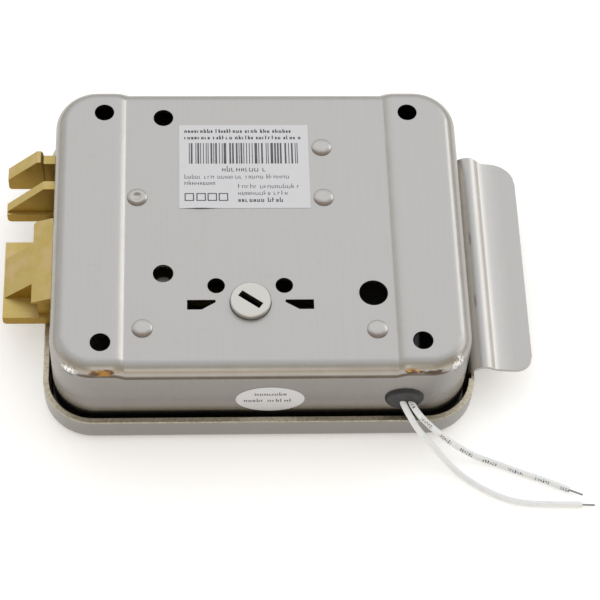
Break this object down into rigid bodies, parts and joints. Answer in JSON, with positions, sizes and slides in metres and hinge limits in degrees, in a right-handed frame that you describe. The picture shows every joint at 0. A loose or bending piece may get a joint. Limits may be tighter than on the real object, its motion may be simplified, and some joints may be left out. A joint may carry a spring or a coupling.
{
  "type": "electric rim door lock",
  "caption": "Electric rim lock with a drawn steel case, beveled brass bolts, a key cylinder coupling, a push button, a finger pull and two supply leads.",
  "frame": {"origin": "on the outer face of the front cover, under the centre of the four door fixing holes", "axes": "+X from the bolts to the finger pull, +Y across the bolts away from the lead exit, +Z from the front cover to the door face"},
  "size_m": [0.178, 0.134, 0.0365],
  "materials": {
    "stainless": "brushed stainless sheet with lightly polished bends",
    "zinc_steel": "dull zinc plated steel",
    "rivet_steel": "turned steel, satin",
    "spring_steel": "drawn spring wire",
    "nickel": "satin nickel plate",
    "bolt_brass": "cast brass, tumbled and lightly tarnished",
    "cylinder_brass": "turned brass",
    "winding": "enamelled copper wire",
    "black_plastic": "moulded black plastic",
    "grommet_rubber": "soft black rubber",
    "lead_sleeve": "off-white PVC insulation",
    "tinned_wire": "tinned copper strands",
    "label_paper": "white self-adhesive label"
  },
  "bodies": {
    "case": {"housing": "stainless", "front_cover": "stainless", "pull_lip": "stainless", "mechanism_plate": "zinc_steel", "pillar_rivets": "rivet_steel", "cover_pillars": "zinc_steel", "cover_screws": "rivet_steel", "bolt_guide": "zinc_steel", "spring_stop": "zinc_steel", "main_bolt_spring": "spring_steel", "loading_bolt_spring": "spring_steel", "trigger_bolt_spring": "spring_steel", "cylinder_body": "cylinder_brass", "cylinder_nut": "zinc_steel", "button_bezel": "black_plastic", "button_spring": "spring_steel", "solenoid_frame": "zinc_steel", "solenoid_rivets": "rivet_steel", "solenoid_bobbin": "black_plastic", "solenoid_coil": "winding", "solenoid_core": "zinc_steel", "armature_spring": "spring_steel", "pawl_pin": "rivet_steel", "inner_leads": "lead_sleeve", "grommet": "grommet_rubber", "lead_plain": "lead_sleeve", "lead_printed": "lead_sleeve", "bare_lead_ends": "tinned_wire", "info_label": "label_paper", "inspection_sticker": "label_paper"},
    "main_bolt": {"main_bolt": "bolt_brass"},
    "loading_bolt": {"loading_bolt": "bolt_brass"},
    "trigger_bolt": {"trigger_bolt": "bolt_brass"},
    "coupling": {"coupling_disc": "nickel", "cam": "zinc_steel"},
    "plug": {"cylinder_plug": "cylinder_brass"},
    "button": {"push_button": "nickel", "button_clip": "spring_steel"},
    "armature": {"armature": "rivet_steel", "armature_pin": "spring_steel", "armature_clip": "spring_steel"},
    "pawl": {"release_pawl": "zinc_steel"}
  },
  "joints": [
    {"name": "main_bolt_slide", "type": "slide", "parent": "case", "child": "main_bolt", "axis": [1, 0, 0], "range_m": [0, 0.014], "stiffness_N_per_m": 350, "springref_m": -0.01, "deforming": ["main_bolt_spring"]},
    {"name": "loading_bolt_slide", "type": "slide", "parent": "case", "child": "loading_bolt", "axis": [1, 0, 0], "range_m": [0, 0.012], "stiffness_N_per_m": 250, "springref_m": -0.008, "deforming": ["loading_bolt_spring"]},
    {"name": "trigger_bolt_slide", "type": "slide", "parent": "case", "child": "trigger_bolt", "axis": [1, 0, 0], "range_m": [0, 0.012], "stiffness_N_per_m": 250, "springref_m": -0.008, "deforming": ["trigger_bolt_spring"]},
    {"name": "coupling_turn", "type": "hinge", "parent": "case", "child": "coupling", "pos_m": [-0.0031, -0.0273, 0.03], "axis": [0, 0, -1], "range_deg": [0, 60]},
    {"name": "plug_turn", "type": "hinge", "parent": "case", "child": "plug", "pos_m": [-0.0031, -0.0273, 0.01], "axis": [0, 0, -1], "range_deg": [0, 60]},
    {"name": "button_press", "type": "slide", "parent": "case", "child": "button", "axis": [0, 0, 1], "range_m": [0, 0.003], "stiffness_N_per_m": 600, "springref_m": -0.002, "deforming": ["button_spring"]},
    {"name": "armature_pull", "type": "slide", "parent": "case", "child": "armature", "axis": [1, 0, 0], "range_m": [0, 0.0035], "stiffness_N_per_m": 250, "springref_m": -0.003, "deforming": ["armature_spring"]},
    {"name": "pawl_turn", "type": "hinge", "parent": "case", "child": "pawl", "pos_m": [-0.005, 0.0085, 0.022], "axis": [0, 0, -1], "range_deg": [0, 17.5]}
  ],
  "couplings": [
    {"joint": "coupling_turn", "follows": "main_bolt_slide", "rad_per_m": 74.7},
    {"joint": "plug_turn", "follows": "main_bolt_slide", "rad_per_m": 74.7},
    {"joint": "pawl_turn", "follows": "armature_pull", "rad_per_m": 87}
  ]
}
